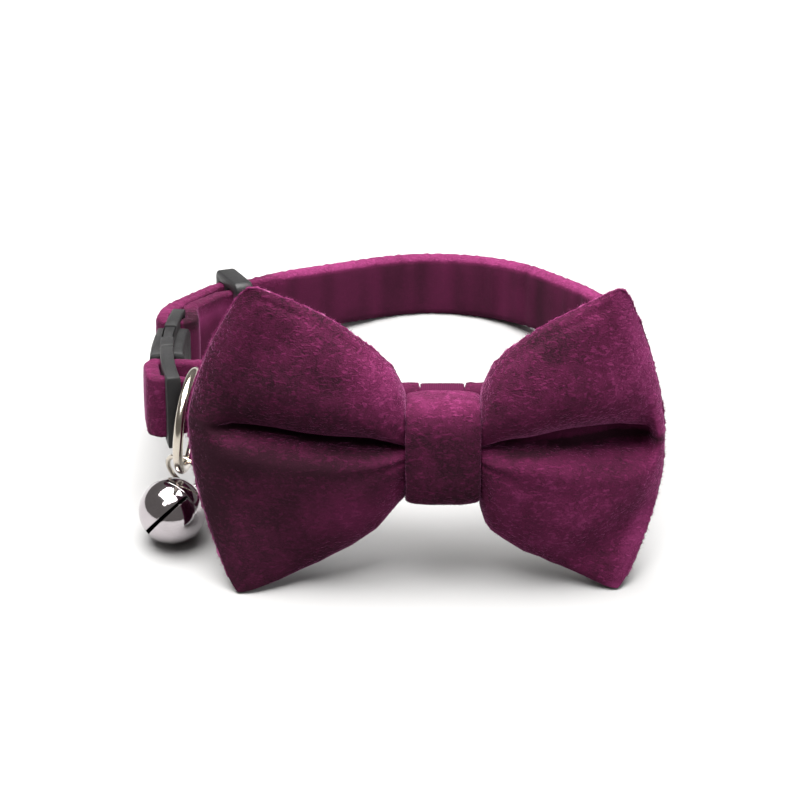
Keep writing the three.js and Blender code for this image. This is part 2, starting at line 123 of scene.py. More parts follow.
def pick(obj):
    deselectAll()
    obj.select_set(True)
    bpy.context.view_layer.objects.active = obj


def editWhole(obj, *steps):
    # runs mesh operators on all of the mesh
    pick(obj)
    bpy.ops.object.mode_set(mode="EDIT")
    bpy.ops.mesh.select_all(action="SELECT")
    for operator, settings in steps:
        operator(**settings)
    bpy.ops.object.mode_set(mode="OBJECT")


def fatten(obj, chosen, amount):
    # pushes the chosen points out along their normals
    bpy.ops.object.mode_set(mode="EDIT")
    bpy.ops.mesh.select_all(action="DESELECT")
    bpy.ops.object.mode_set(mode="OBJECT")
    for vertex in obj.data.vertices:
        vertex.select = chosen(vertex.co)
    bpy.ops.object.mode_set(mode="EDIT")
    bpy.ops.transform.shrink_fatten(value=amount)
    bpy.ops.object.mode_set(mode="OBJECT")


def meshPiece(name, points, faces, finish):
    data = bpy.data.meshes.new(name)
    data.from_pydata([tuple(p) for p in points], [], faces)
    data.update()
    obj = bpy.data.objects.new(name, data)
    bpy.context.scene.collection.objects.link(obj)
    editWhole(obj, (bpy.ops.mesh.normals_make_consistent, {"inside": False}))
    bpy.ops.object.shade_smooth()
    data.materials.append(finish)
    return obj


def paint(obj, **layers):
    # values at the points, read by the finishes: the painted light and shade, and how tufted the nap is
    for name, values in layers.items():
        layer = obj.data.attributes.new(name, "FLOAT", "POINT")
        layer.data.foreach_set("value", np.asarray(values, np.float32))


def tubeFaces(rings, around, closedLoop, base=0):
    # a tube that is not a closed loop gets a cap on each end
    faces = []
    for i in range(rings if closedLoop else rings - 1):
        a, b = base + i * around, base + ((i + 1) % rings) * around
        for j in range(around):
            k = (j + 1) % around
            faces.append((a + j, a + k, b + k, b + j))
    if not closedLoop:
        for ring in (0, rings - 1):
            faces.append(tuple(base + ring * around + j for j in range(around)))
    return faces


def settle(obj, matrix):
    # puts a primitive that was modelled at the origin in its place, with the place in its mesh
    obj.data.transform(matrix)
    obj.matrix_world = Matrix.Identity(4)
    obj.data.update()


def modifier(obj, kind, **settings):
    pick(obj)
    bpy.ops.object.modifier_add(type=kind)
    added = obj.modifiers[-1]
    for key, value in settings.items():
        setattr(added, key, value)
    bpy.ops.object.modifier_apply(modifier=added.name)


def srgb(*levels):
    linear = [((c / 255 + 0.055) / 1.055) ** 2.4 if c > 10 else c / 255 / 12.92 for c in levels]
    return (*linear, 1.0)


class Sock:
    def __init__(self, finish, socket):
        self.finish = finish
        self.socket = socket

    def maths(self, operation, first, second):
        node = self.finish.add("ShaderNodeMath", {"operation": operation}, {0: first, 1: second})
        return node["Value"]

    def __add__(self, other): return self.maths("ADD", self, other)
    def __radd__(self, other): return self.maths("ADD", other, self)
    def __sub__(self, other): return self.maths("SUBTRACT", self, other)
    def __rsub__(self, other): return self.maths("SUBTRACT", other, self)
    def __mul__(self, other): return self.maths("MULTIPLY", self, other)
    def __pow__(self, other): return self.maths("POWER", self, other)
    def absolute(self): return self.maths("ABSOLUTE", self, 0.0)


class Placed:
    def __init__(self, finish, node):
        self.finish = finish
        self.node = node

    def __getitem__(self, name):
        return Sock(self.finish, self.node.outputs[name])


class Finish:
    def __init__(self, name):
        self.material = bpy.data.materials.new(name)
        self.material.use_nodes = True
        self.tree = self.material.node_tree
        self.tree.nodes.clear()

    def add(self, kind, settings=None, sockets=None):
        node = self.tree.nodes.new(kind)
        for key, value in (settings or {}).items():
            if key == "stops":
                while len(node.color_ramp.elements) < len(value):
                    node.color_ramp.elements.new(0.5)
                for element, (place, colour) in zip(node.color_ramp.elements, value):
                    element.position = place
                    element.color = colour
            else:
                setattr(node, key, value)
        for key, value in (sockets or {}).items():
            if isinstance(value, Sock):
                self.tree.links.new(value.socket, node.inputs[key])
            else:
                node.inputs[key].default_value = value
        return Placed(self, node)

    def noise(self, vector, scale, detail=2.0, rough=0.5, distortion=0.0):
        node = self.add("ShaderNodeTexNoise", {}, {"Vector": vector, "Scale": scale, "Detail": detail,
                                                   "Roughness": rough, "Distortion": distortion})
        return node["Fac"]

    def stretched(self, vector, scale, turn=(0, 0, 0)):
        node = self.add("ShaderNodeMapping", {}, {"Vector": vector, "Scale": scale, "Rotation": turn})
        return node["Vector"]

    def painted(self, name):
        return self.add("ShaderNodeAttribute", {"attribute_name": name})["Fac"]

    def objectPlace(self):
        return self.add("ShaderNodeTexCoord")["Object"]

    def ramp(self, tone, stops):
        return self.add("ShaderNodeValToRGB", {"stops": stops}, {"Fac": tone})["Color"]

    def bump(self, height, distance, strength):
        node = self.add("ShaderNodeBump", {}, {"Height": height, "Distance": distance, "Strength": strength})
        return node["Normal"]

    def close(self, sockets):
        shader = self.add("ShaderNodeBsdfPrincipled", {}, sockets)
        self.add("ShaderNodeOutputMaterial", {}, {"Surface": shader["BSDF"]})
        return self.material


velvetLook = {
    "stops": [(0.12, srgb(30, 7, 18)), (0.5, srgb(66, 16, 44)), (0.95, srgb(104, 37, 76))],
    "sheen": 0.38, "sheenRough": 0.24, "sheenTint": (1.0, 0.3, 0.68, 1.0),
    # scale, detail, roughness and distortion of each layer of noise
    "patch": (62, 2.0, 0.5, 0.4), "mottle": (330, 3.0, 0.6, 0.8), "stroke": (1500, 2.0, 0.55, 0.35),
    "grain": (3400, 1.0), "break": (520, 1.0),
    "strokeScale": (0.6, 1.0, 1.2), "strokeTurn": (0.0, 0.6, 0.2), "furrow": 7,
    # what each layer weighs in the tone and in the relief, and how deep and strong the relief is
    "tone": {"patch": 0.35, "mottle": 0.5, "stroke": 0.5, "grain": 0.32, "broken": 0.45},
    "relief": {"mottle": 0.4, "stroke": 0.5, "grain": 0.25, "broken": 0.35},
    "bump": (0.0005, 0.75),
}


def velvetFinish(name, look):
    f = Finish(name)
    place = f.objectPlace()
    patch = f.noise(place, *look["patch"])
    mottle = f.noise(place, *look["mottle"])
    strokes = f.noise(f.stretched(place, look["strokeScale"], look["strokeTurn"]), *look["stroke"])
    grain = f.noise(place, *look["grain"])
    furrow = (1 - (strokes * 2 - 1).absolute()) ** look["furrow"]
    broken = furrow * f.noise(place, *look["break"])
    tuft = f.painted("tuft")
    part = look["tone"]
    tufts = (mottle - 0.5) * part["mottle"] + (strokes - 0.5) * part["stroke"]
    tufts = tufts + (grain - 0.5) * part["grain"] - broken * part["broken"]
    # the painted light and shade at the points lightens and darkens the tone
    tone = 0.5 + f.painted("nap") + (patch - 0.5) * part["patch"] + tufts * tuft
    colour = f.ramp(tone, look["stops"])
    part = look["relief"]
    height = strokes * part["stroke"] + mottle * part["mottle"] + grain * part["grain"]
    height = height - broken * part["broken"]
    normal = f.bump(height * tuft, *look["bump"])
    return f.close({"Base Color": colour, "Roughness": 0.95, "Specular IOR Level": 0.1, "Normal": normal,
                    "Sheen Weight": look["sheen"], "Sheen Roughness": look["sheenRough"],
                    "Sheen Tint": look["sheenTint"]})


pileTone = {"stops": (0.1, 0.6, 0.95), "noise": (700, 2.0), "spread": 1.6}


def pileFinish(name, *colours):
    f = Finish(name)
    grain = f.noise(f.objectPlace(), *pileTone["noise"])
    # each hair takes the painted light and shade of the spot it stands on
    tone = 0.5 + f.painted("nap") + (grain - 0.5) * pileTone["spread"]
    colour = f.ramp(tone, list(zip(pileTone["stops"], colours)))
    return f.close({"Base Color": colour, "Roughness": 0.95, "Specular IOR Level": 0.0})


# the elastic's plum is darkened to match the velvet in shade: painted shade
elasticShadeLook = {
    "stops": [(0.1, srgb(52, 13, 35)), (0.9, srgb(64, 18, 44))],
    "ribs": {"Scale": 900.0, "Distortion": 0.6}, "yarn": (2600, 2.0), "ribPart": 0.6, "yarnPart": 0.4,
    "bump": (0.0003, 0.45),
}


def elasticFinish(name, look):
    f = Finish(name)
    place = f.objectPlace()
    ribs = f.add("ShaderNodeTexWave", {"bands_direction": "X"}, {"Vector": place, **look["ribs"]})["Fac"]
    yarn = f.noise(place, *look["yarn"])
    tone = ribs * look["ribPart"] + yarn * look["yarnPart"]
    colour = f.ramp(tone, look["stops"])
    normal = f.bump(tone, *look["bump"])
    return f.close({"Base Color": colour, "Roughness": 0.9, "Specular IOR Level": 0.05, "Normal": normal})


plasticLook = {
    "stops": [(0.25, srgb(8, 8, 9)), (0.8, srgb(24, 24, 25))],
    "grain": (5200, 2.0), "wear": (260, 3.0, 0.6), "grainPart": 0.35, "wearPart": 0.65,
    "rough": 0.4, "roughWear": 0.22, "bump": (0.0001, 0.35),
}


def plasticFinish(name, look):
    f = Finish(name)
    place = f.objectPlace()
    grain = f.noise(place, *look["grain"])
    wear = f.noise(place, *look["wear"])
    tone = grain * look["grainPart"] + wear * look["wearPart"]
    colour = f.ramp(tone, look["stops"])
    return f.close({"Base Color": colour, "Roughness": look["rough"] + wear * look["roughWear"],
                    "Specular IOR Level": 0.3, "Normal": f.bump(grain, *look["bump"])})


metalLook = {
    "stops": (0.2, 0.75), "cloud": (240, 3.0, 0.6), "hair": (900, 2.0), "hairScale": (1.0, 6.0, 6.0),
    "cloudPart": 0.6, "hairPart": 0.4, "bump": (0.00005, 0.12),
}


def metalFinish(name, dull, bright, rough, spread):
    f = Finish(name)
    place = f.objectPlace()
    cloud = f.noise(place, *metalLook["cloud"])
    hair = f.noise(f.stretched(place, metalLook["hairScale"]), *metalLook["hair"])
    tone = cloud * metalLook["cloudPart"] + hair * metalLook["hairPart"]
    colour = f.ramp(tone, list(zip(metalLook["stops"], (dull, bright))))
    return f.close({"Base Color": colour, "Metallic": 1.0, "Roughness": rough + cloud * spread,
                    "Normal": f.bump(hair, *metalLook["bump"])})


velvet = velvetFinish("plum velvet", velvetLook)
strapVelvet = velvetFinish("strap velvet", {**velvetLook, "sheen": 0.16})
knotVelvet = velvetFinish("knot velvet", {**velvetLook, "sheen": 0.22})
pile = pileFinish("plum pile", srgb(34, 7, 21), srgb(58, 13, 37), srgb(92, 28, 63))
seamThread = pileFinish("seam thread", srgb(72, 24, 50), srgb(106, 44, 80), srgb(150, 84, 122))
elastic = elasticFinish("elastic in painted shade", elasticShadeLook)
plastic = plasticFinish("matt black plastic", plasticLook)
nickel = metalFinish("warm nickel", srgb(172, 163, 148), srgb(208, 200, 188), rough=0.12, spread=0.1)
chrome = metalFinish("bright chrome", srgb(166, 160, 163), srgb(192, 186, 189), rough=0.06, spread=0.05)
# near-black metal that stands in for the shade inside the bell: painted shade on the inside and the slot's
# walls; the pellet takes it too
bellInsideShade = metalFinish("bell inside", srgb(26, 25, 26), srgb(44, 42, 42), rough=0.5, spread=0.2)
print("finishes made")

bow = {
    "place": (7.7, -18.75), "drop": 2.3, "tip": 44.0, "start": 6.6,
    # reach, half height, front, back, crease, lean, edge lean, lift
    "rows": [
        (0, 7.1, 3.5, 3.5, 1.2, 0, 0, 0.6), (6.6, 7.3, 3.5, 3.5, 1.8, 0, 0, 0.9),
        (6.72, 9.6, 5.0, 3.6, 3.4, 0, -0.1, 1.0), (8, 11.2, 5.6, 3.6, 4.2, 0, -0.2, 1.2),
        (9.6, 13, 6.6, 3.4, 5.4, 0.1, -0.5, 1.5), (13, 15.7, 7.7, 3.4, 6.8, 0.3, -0.8, 1.9),
        (18.5, 19, 8.5, 3.6, 7.6, 0.6, -1.2, 2.2), (26, 22.7, 8.4, 3.8, 7.6, 1.4, -1.5, 2.5),
        (34, 25.7, 6.9, 3.2, 5.8, 2.4, -1.6, 2.8), (40.5, 27.7, 4.6, 2.2, 2.6, 3.2, -1.6, 2.9),
        (44, 28.6, 3.0, 1.5, 0.4, 3.4, -1.6, 3),
    ],
    # per wing: where its fold and corners end and how far they bulge, crease depth added near the tip
    # and where the crease stops, its half gap near and far, height lost by the crease at the tip,
    # how far the tip comes forward, and half height added above and below
    "ends": [
        {"side": -1, "seed": 8, "fold": 45.9, "top": (34.8, 1.4), "bottom": (37.7, 2.05), "deeper": 0.9,
         "stop": (36, 41.5), "gap": (0.6, 0.45), "sink": -1.5, "forward": 1.1,
         "swell": [(6.6, 0, 0), (6.72, 0.7, 0.0), (8.2, 1.5, -0.6), (9.6, 1.8, -0.7), (13, 1.8, 0.2),
                   (18.5, 1.6, 0.3), (26, 1.4, 0.2), (34, 1.0, 0.2), (41, 0.8, 0.2), (44, 0.5, 0.3)]},
        {"side": 1, "seed": 3, "fold": 40.2, "top": (31.9, 1.6), "bottom": (32.4, 2.1), "deeper": 4.0,
         "stop": (40.6, 43), "gap": (0.4, 1.9), "sink": 2.3, "forward": 0.0,
         "swell": [(6.6, 0, 0), (6.72, 1.2, 1.8), (8.2, 1.9, 3.2), (9.6, 2.3, 3.1), (13, 2.0, 2.2),
                   (18.5, 1.4, 1.5), (23, 1.0, 0.6), (28, 0.4, 0), (34, 0, -0.4), (44, 0, 0)]},
    ],
    "along": 76, "across": 104, "crowdTip": 1.3, "crowdMiddle": 1.6, "wingFrom": 8.5,
    "nearKnot": [0, 2, 4, 5.5, 6.2, 6.5, 6.6, 6.64, 6.68, 6.72, 7.0, 7.4, 7.8, 8.15],
    "tableSteps": 881, "tableSoft": 15, "softFrom": (7.6, 9.5),
    "cornerRound": 0.5, "cornerFrom": 0.9, "cornerPower": 2.5, "tipLoss": 0.45, "tipLossFrom": 40,
    "closeFrom": 38, "pillow": (2.4, 0.6), "shoulder": (0.42, 0.19), "tuck": 2.2, "weld": 0.00002,
    # stretches of reach over which a form comes in
    "spans": {"deeper": (24, 36), "sink": (18, 44), "gap": (14, 28), "slit": (6, 13), "tuck": (22, 44),
              "forward": (28, 42)},
    "groove": {"deep": 0.25, "inset": 1.7, "wide": 0.6, "from": (9, 14), "to": (38, 42)},
    "gather": {"deep": 0.2, "waves": [(11, 1, 1), (19, 2, 0.6)], "hub": 3.5, "from": (5, 8),
               "fade": (7.5, 6.5)},
    "lump": {"deep": 0.3, "size": 13.0, "from": (7, 14), "apart": 40},
    "dents": [  # from, to, half width, depth, in the bow's own x and z
        ((36.5, -15), (25.5, -22), 3.6, 2.3), ((-38, 8), (-29, 19), 4.0, 0.5),
        ((-33, -14), (-22, -20), 5.0, 0.45), ((30, 12), (20, 18), 4.5, 0.45),
    ],
    "nap": {  # where each band of painted light and shade lies, and how much lighter it is on the left and right wing; the crease is a painted shadow
        "wing": (7, 12), "fold": -1.3, "foldRise": 3.4, "foldSpan": (10, 44),
        "creaseWide": 0.8, "crease": -0.5, "above": (3.2, 3.4), "lower": (0, 4),
        "leftTip": (37, 43), "leftTop": (19, 25), "rightFoot": (18, 24),
        "rim": (-5, -0.4), "rimAt": 40.2, "rimBack": 8, "rimTall": 27,
        "left": {"above": -0.15, "lower": -0.19, "tip": -0.1, "top": -0.08},
        "right": {"above": 0.02, "lower": 0.13, "rim": 0.26, "foot": -0.1},
        "smoothLeft": 0.45, "smoothRight": 0.15, "smoothFold": 0.4, "smoothSpan": (1, 3), "front": (0.3, -0.3),
    },
    "patches": [  # x, z, half width, half height, and how much lighter it is painted there; below zero is painted shade
        (-9, 12, 6.5, 8, 0.36), (-31, 12, 10, 6, -0.16), (-27, -2.6, 16, 2.8, -0.19),
        (-15, -13.5, 8, 4.5, 0.25), (-41, -14, 5, 6, -0.12), (34.5, 13.5, 7, 10, 0.22),
        (17.3, 20, 8, 5, -0.15), (30.4, -5, 9, 4, -0.2), (29.4, -18.5, 5, 6, -0.14),
        (10.2, -4, 4, 3, -0.14), (16.5, -1.2, 9, 1.4, 0.16), (-14, -1.0, 6, 1.3, 0.12),
    ],
}


def bowTable(reach):
    # the rows joined by straight runs inside the knot and by smooth ones outside it
    rows = np.array(bow["rows"], float)
    fine = np.linspace(0, bow["tip"], bow["tableSteps"])
    window = softWindow(2 * bow["tableSoft"] + 1)
    blend = smoothStep(*bow["softFrom"], fine)
    out = []
    for column in range(1, rows.shape[1]):
        line = np.interp(fine, rows[:, 0], rows[:, column])
        padded = np.pad(line, bow["tableSoft"], mode="reflect", reflect_type="odd")
        soft = np.convolve(padded, window, "valid")
        out.append(np.interp(reach, fine, line + (soft - line) * blend))
    return out


def bowWing(end, face):
    side, seed, spans, tip, start = end["side"], end["seed"], bow["spans"], bow["tip"], bow["start"]
    t = np.linspace(0, 1, bow["along"])
    wing = bow["wingFrom"] + (tip - bow["wingFrom"]) * (1 - (1 - t) ** bow["crowdTip"])
    reach = np.concatenate([bow["nearKnot"], wing])[:, None]
    s = np.linspace(-1, 1, bow["across"] + 1)
    level = blunt(np.sin(s * math.pi / 2), bow["crowdMiddle"])[None, :]
    rise, above = np.abs(level), level > 0
    half, front, back, crease, lean, edgeLean, lift = bowTable(reach)
    swellAt, swellTop, swellFoot = np.array(end["swell"], float).T
    half = half + np.where(above, np.interp(reach, swellAt, swellTop), np.interp(reach, swellAt, swellFoot))
    lost = np.clip((reach - bow["tipLossFrom"]) / (tip - bow["tipLossFrom"]), 0, 1) ** 3
    half = half - bow["tipLoss"] * lost
    corner, bulge = (np.where(above, *pair) for pair in zip(end["top"], end["bottom"]))
    tight = np.clip((rise - bow["cornerFrom"]) / (1 - bow["cornerFrom"]), 0, 1) ** bow["cornerPower"]
    edge = corner + (end["fold"] - corner) * (1 - rise ** bulge) - bow["cornerRound"] * tight
    out = np.where(reach <= start, reach, start + (reach - start) * (edge - start) / (tip - start))
    ended = np.clip((reach - bow["closeFrom"]) / (tip - bow["closeFrom"]), 0, 1)
    close = np.sqrt(np.clip(1 - ended ** 2, 0, 1))
    pillow = np.clip(1 - rise ** bow["pillow"][0], 0, 1) ** bow["pillow"][1]
    # the front fold: its depth, the gap between its lips, and its round shoulders
    deep = (crease + end["deeper"] * smoothStep(*spans["deeper"], reach)) * close
    deep = deep * (1 - smoothStep(*end["stop"], reach))
    near, far = end["gap"]
    slit = near + (far - near) * smoothStep(*spans["gap"], reach)
    slit = slit * smoothStep(*spans["slit"], reach) * close / half
    shoulder = np.clip(1 - np.clip(rise - slit, 0, 1) / np.where(above, *bow["shoulder"]), 0, 1)
    fold = deep * (1 - np.sqrt(1 - shoulder ** 2))
    # where the fold and the edges run
    lift = lift - end["sink"] * smoothStep(*spans["sink"], reach)
    low = lift * (1 - rise ** 2) - bow["drop"] * (1 - rise * (reach / tip))
    middle = lean + (edgeLean - lean) * rise ** 2
    middle = middle - bow["tuck"] * np.clip(-level, 0, 1) ** 3 * smoothStep(*spans["tuck"], reach)
    middle = middle - end["forward"] * smoothStep(*spans["forward"], reach)
    x = side * out
    z = level * half + low
    outward = 1 if face == "front" else -1
    stand = front * pillow * close - fold if face == "front" else back * pillow * close
    # a soft groove inside the seam of the upper edge
    groove = bow["groove"]
    line = hump((1 - level) * half, groove["inset"], groove["wide"])
    line = line * smoothStep(*groove["from"], reach) * (1 - smoothStep(*groove["to"], reach))
    stand = stand - groove["deep"] * line
    # gathers that run out of the knot, soft lumps of the filling and a few pressed dents
    gather, lump, off = bow["gather"], bow["lump"], np.abs(x)
    turn = np.arctan2(z + bow["drop"], off - gather["hub"])
    fadeFrom, fadeOver = gather["fade"]
    fade = np.exp(-np.clip(off - fadeFrom, 0, None) / fadeOver) * smoothStep(*gather["from"], off) * pillow
    gathers = sum(size * np.sin(turn * rate + k * seed) for rate, k, size in gather["waves"])
    stand = stand + gather["deep"] * gathers * fade
    spot = np.stack([x, np.full_like(x, outward * lump["apart"]), z], -1)
    lumps = softNoise(spot, lump["size"], seed) * pillow * close * smoothStep(*lump["from"], off)
    stand = stand + lump["deep"] * lumps
    for a, b, wide, depth in bow["dents"]:
        if face == "front" and np.sign(a[0]) == side:
            away = np.array(b) - np.array(a)
            along = np.clip(((x - a[0]) * away[0] + (z - a[1]) * away[1]) / (away @ away), 0, 1)
            aside = np.hypot(x - a[0] - along * away[0], z - a[1] - along * away[1])
            stand = stand - depth * hump(aside, 0, wide) * pillow * close
    return np.stack([x, middle - outward * stand, z], -1)


def paintBow(obj):
    # painted shade and light: darker above the fold and in the left lower lobe, lighter along the right rim
    look = bow["nap"]
    own = ownPlace(obj)
    x, z = own[:, 0] - bow["place"][0], own[:, 2]
    facing = np.zeros(own.size)
    obj.data.vertices.foreach_get("normal", facing)
    front = smoothStep(*look["front"], facing.reshape(-1, 3)[:, 1])
    left, right = smoothStep(*look["wing"], -x), smoothStep(*look["wing"], x)
    fold = look["fold"] + left * smoothStep(*look["foldSpan"], -x) * look["foldRise"]
    lower = smoothStep(*look["lower"], fold - z)
    bands = {
        "above": hump(z - fold, *look["above"]), "lower": lower,
        "tip": smoothStep(*look["leftTip"], -x), "top": smoothStep(*look["leftTop"], z),
        "rim": smoothStep(*look["rim"], x - look["rimAt"] + look["rimBack"] * (z / look["rimTall"]) ** 2),
        "foot": smoothStep(*look["rightFoot"], -z),
    }
    # a painted shadow along the crease
    nap = look["crease"] * hump(z, fold, look["creaseWide"]) * (left + right)
    nap += left * sum(amount * bands[band] for band, amount in look["left"].items())
    nap += right * sum(amount * bands[band] for band, amount in look["right"].items())
    for spotX, spotZ, wide, tall, amount in bow["patches"]:
        nap += amount * hump(x, spotX, wide) * hump(z, spotZ, tall)
    smooth = look["smoothLeft"] * left * lower + look["smoothRight"] * right * lower
    smooth += look["smoothFold"] * hump(z - fold, *look["smoothSpan"])
    paint(obj, nap=nap * front, tuft=1 - smooth * front)


def makeBow():
    points, faces = [], []
    columns = bow["across"] + 1
    rows = bow["along"] + len(bow["nearKnot"])
    for end in bow["ends"]:
        for face in ("front", "back"):
            base = len(points) * rows * columns
            points.append(bowWing(end, face).reshape(-1, 3))
            for i in range(rows - 1):
                for j in range(columns - 1):
                    a = base + i * columns + j
                    faces.append((a, a + 1, a + columns + 1, a + columns))
    shape = np.concatenate(points) + np.array([*bow["place"], 0])
    obj = meshPiece("velvet_bow", aboveFloor(shape), faces, velvet)
    editWhole(obj, (bpy.ops.mesh.remove_doubles, {"threshold": bow["weld"]}),
              (bpy.ops.mesh.normals_make_consistent, {"inside": False}))
    paintBow(obj)
    return obj


bowPiece = makeBow()
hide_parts("bow")
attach(bowPiece, "root")
print("bow made")

slider = {"place": (-33.6, 51.2), "turnDeg": -66.8}


def sliderPoint(across, along):
    return np.array(slider["place"]) + turned((across, along), math.radians(slider["turnDeg"]))


strap = {
    "rows": [  # place, turn radius, thickness, height
        (sliderPoint(7.6, -2.6), 0, 2.2, 11.7), (sliderPoint(7.6, 3.5), 2, 2.2, 11.7),
        (sliderPoint(2.65, 3.5), 2, 2.4, 11.7), (sliderPoint(2.65, -4.2), 4, 2.4, 11.7),
        ((-41.9, 38), 5, 3, 12.0), ((-40.2, 29.5), 2.2, 2.4, 11.7),
        ((-47.1, 29.5), 2.2, 2.4, 11.7), ((-45.6, 38), 18, 3.2, 12.0),
        (sliderPoint(-2.65, -3.2), 3, 2.4, 11.7), (sliderPoint(-2.65, 3.6), 12, 2.4, 11.7),
        ((-21, 61), 60, 3.8, 12.8), ((15.5, 79.5), 28, 3.8, 12.8), ((43.3, 41.2), 45, 3.8, 12.8),
        ((43.3, -9), 25, 3.8, 12.8), ((12.05, -9), 0, 3.8, 12.8), ((11.8, -9), 0, 3.6, 11.0),
        ((3.6, -9), 0, 3.6, 11.0), ((3.35, -9), 0, 3.8, 12.8), ((-27, -9), 25, 3.8, 12.8),
        ((-39, -2.5), 4, 2.4, 10.4), ((-45.3, -3.8), 1.8, 2.8, 11.5), ((-46.8, 5.85), 1.8, 2.8, 11.5),
        ((-35, 7.2), 6, 2.4, 10.4), ((-22, -5.2), 12, 2.8, 11.5), ((-12, -5.2), 0, 2.6, 11.5),
    ],
    "step": 0.85, "tightest": 3.0, "soft": 4, "softMore": 0.1, "middle": (0, 26), "seed": 4,
    # x, y and reach of the stretch that the keeper presses, where the height is not smoothed
    "pressed": (7.7, -9, 12),
    "corner": ((2.8, 3.2, 3.8), (0.6, 0.7, 1.6)), "cornerSteps": 5, "edgePoints": 2, "facePoints": 4,
    "crown": 0.12, "crownFrom": 0.97, "endRound": 1.2, "endThick": 0.12,
    # waves along the strap: rate, which phase, size
    "ripple": 0.17, "ripples": [(1.05, 0, 1), (1.71, 1, 0.7), (0.43, 2, 0.5)], "looseFrom": 12.6, "tight": 0.3,
    "pucker": 0.07, "puckers": [(2.3, 3, 1), (3.1, 4, 1)],
    # painted shade of the ripples on the inner face
    "streak": 0.035, "streaks": [(0.37, 5, 1), (0.83, 2, 1), (1.45, 3, 0.6)],
    # painted light on the top and the thin stretches and painted shade on the inner face, with the spans that
    # tell them apart
    "topNap": 0.32, "thinNap": 0.1, "innerNap": -0.16, "topSpan": (0.78, 0.92), "fullSpan": (12.2, 12.7),
    "innerSpan": (0.3, 0.9), "backSpan": (5, 25), "tuft": 0.75, "faceTuft": -0.6,
    # the doubled end by the buckle: where it folds, and the painted shadow added on its top, by the buckle and
    # away from it, and the painted light on its face
    "fold": (-43.65, 29.5), "endTop": (-0.5, -0.14), "endFace": (0.02, 0.36), "awaySpan": (30, 40),
    "endTopSpan": (0.6, 0.85), "endFaceSpan": (-0.1, 0.6),
}


def strapStations(rows, step):
    turns = []
    for i, (place, bend, thick, tall) in enumerate(rows):
        here = np.array(place, float)
        if bend == 0:
            turns.append((here, here, None, 0, thick, tall))
            continue
        before, after = unit(np.array(rows[i - 1][0]) - here), unit(np.array(rows[i + 1][0]) - here)
        inside = math.acos(np.clip(before @ after, -1, 1))
        back = bend / math.tan(inside / 2)
        centre = here + unit(before + after) * bend / math.sin(inside / 2)
        sweep = np.sign(after[0] * before[1] - after[1] * before[0]) * (math.pi - inside)
        turns.append((here + before * back, here + after * back, centre, sweep, thick, tall))
    stations = []
    for i, (enter, leave, centre, sweep, thick, tall) in enumerate(turns):
        if centre is not None:
            radius = np.linalg.norm(enter - centre)
            count = max(3, int(abs(sweep) * max(radius, strap["tightest"]) / step))
            for k in range(count):
                arm = turned(enter - centre, sweep * k / count)
                left = arm / radius * (-1 if sweep > 0 else 1)
                stations.append((*(centre + arm), *left, thick, tall, math.copysign(1 / radius, sweep)))
        if i + 1 == len(turns):
            stations.append((*leave, *stations[-1][2:4], thick, tall, 0))
            break
        away = turns[i + 1][0] - leave
        long = np.linalg.norm(away)
        left = np.array([-away[1], away[0]]) / long
        count = max(1, int(long / step))
        for k in range(count):
            t = k / count
            stations.append((*(leave + away * t), *left, thick + (turns[i + 1][4] - thick) * t,
                             tall + (turns[i + 1][5] - tall) * t, 0))
    return np.array(stations)


def strapSection(thick, tall, corner):
    # rounded outline of a stuffed strap: four corners, each followed by a flat edge or a flat face
    ring = []
    flatX, flatY = thick / 2 - corner, tall / 2 - corner
    quarters = ((1, 1, 0, 0, 1), (-1, 1, 90, -1, 0), (-1, -1, 180, 0, -1), (1, -1, 270, 1, 0))
    for cx, cy, start, nx, ny in quarters:
        for k in range(strap["cornerSteps"] + 1):
            angle = math.radians(start + 90 * k / strap["cornerSteps"])
            ring.append((cx * flatX + corner * math.cos(angle), cy * flatY + corner * math.sin(angle)))
        count = strap["edgePoints"] if nx == 0 else strap["facePoints"]
        for k in range(1, count + 1):
            share = k / (count + 1) * 2 - 1
            onEdge, onFace = (-ny * share * flatX, ny * tall / 2), (nx * thick / 2, nx * share * flatY)
            ring.append(onEdge if nx == 0 else onFace)
    return np.array(ring)


def strapWaves(far, phases, table):
    return sum(size * math.sin(far * rate + phases[k]) for rate, k, size in table)


def strapRing(row, far, toEnd, phases):
    x, y, lx, ly, thick, tall, bend = row
    shut = math.sqrt(max(0.0, 1 - max(0.0, 1 - toEnd / strap["endRound"]) ** 2))
    ring = strapSection(thick, tall, np.interp(thick, *strap["corner"]))
    across, up = ring[:, 0] / (thick / 2), ring[:, 1] / (tall / 2)
    side = np.sign(across)
    wide = ring[:, 0] * max(shut, strap["endThick"]) + side * strap["crown"] * (1 - up ** 2) * shut
    toward = lx * (strap["middle"][0] - x) + ly * (strap["middle"][1] - y)
    inner = np.clip(across * np.sign(toward), 0, 1)
    loose = 1.0 if tall > strap["looseFrom"] and bend else strap["tight"]
    wave = strapWaves(far, phases, strap["ripples"])
    wide += side * inner * strap["ripple"] * loose * wave * (1 - up ** 4)
    pucker = strap["pucker"] * strapWaves(far, phases, strap["puckers"])
    high = up * (tall / 2 + pucker * np.abs(up) ** 6)
    high += np.sign(up) * strap["crown"] * (1 - across ** 2) * (np.abs(up) > strap["crownFrom"])
    return np.stack([x + lx * wide, y + ly * wide, high], -1), up, inner


